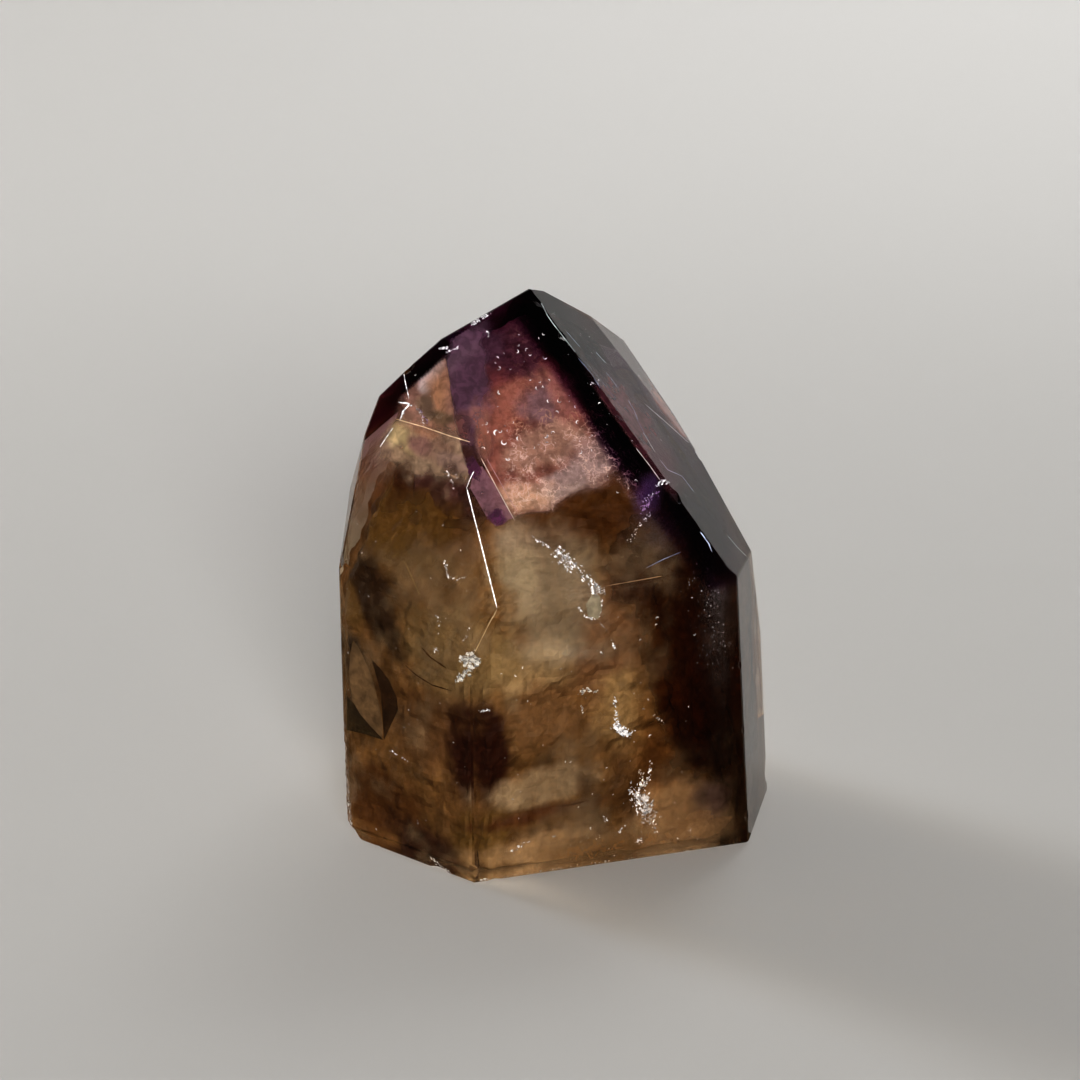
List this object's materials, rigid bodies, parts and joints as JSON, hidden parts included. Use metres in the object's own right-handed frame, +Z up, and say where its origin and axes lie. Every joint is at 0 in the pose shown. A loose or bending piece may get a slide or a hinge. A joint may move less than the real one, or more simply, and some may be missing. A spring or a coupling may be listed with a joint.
{
  "type": "cacoxenite quartz point",
  "caption": "Free-standing polished quartz crystal with a pointed crown, smoky and amethyst zones and a level cut foot.",
  "frame": {"origin": "middle of the level cut foot, on the surface that the crystal stands on", "axes": "+Z up along the crystal's length, -Y towards the front, +X to its right"},
  "size_m": [0.0524, 0.0506, 0.0658],
  "materials": {
    "quartz": "polished, see-through smoky brown with a purple tip and golden-red dust inside"
  },
  "bodies": {
    "root": {"quartz_point": "quartz"}
  },
  "joints": []
}
